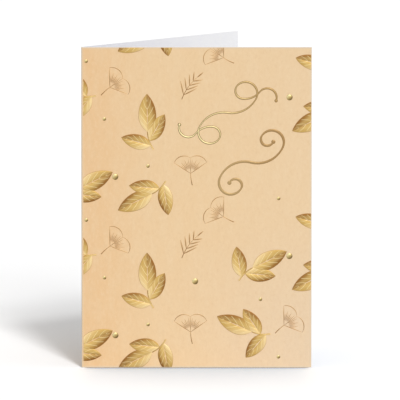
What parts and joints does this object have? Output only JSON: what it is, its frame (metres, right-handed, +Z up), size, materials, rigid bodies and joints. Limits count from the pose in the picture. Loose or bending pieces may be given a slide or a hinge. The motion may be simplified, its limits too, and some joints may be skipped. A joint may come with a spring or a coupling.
{
  "type": "greeting card",
  "caption": "Folded greeting card standing half open, with raised gold foil sprigs, fan leaves, twigs, dots and pen flourishes on a peach printed front.",
  "frame": {"origin": "middle of the footprint of the half-open card, at the surface it stands on", "axes": "+Z up, parallel to the fold; +X from the fold along the front panel; the front panel faces -Y and the back panel opens towards +Y"},
  "size_m": [0.127, 0.0938, 0.1778],
  "materials": {
    "bare_board": "matt uncoated",
    "printed_ground": "matt print",
    "leaf_foil": "satin foil",
    "line_foil": "satin foil",
    "dot_foil": "satin foil"
  },
  "bodies": {
    "root": {"card_board": "bare_board", "printed_ground": "printed_ground", "foil_leaf_sprigs": "leaf_foil", "foil_line_work": "line_foil", "foil_dots": "dot_foil"}
  },
  "joints": []
}
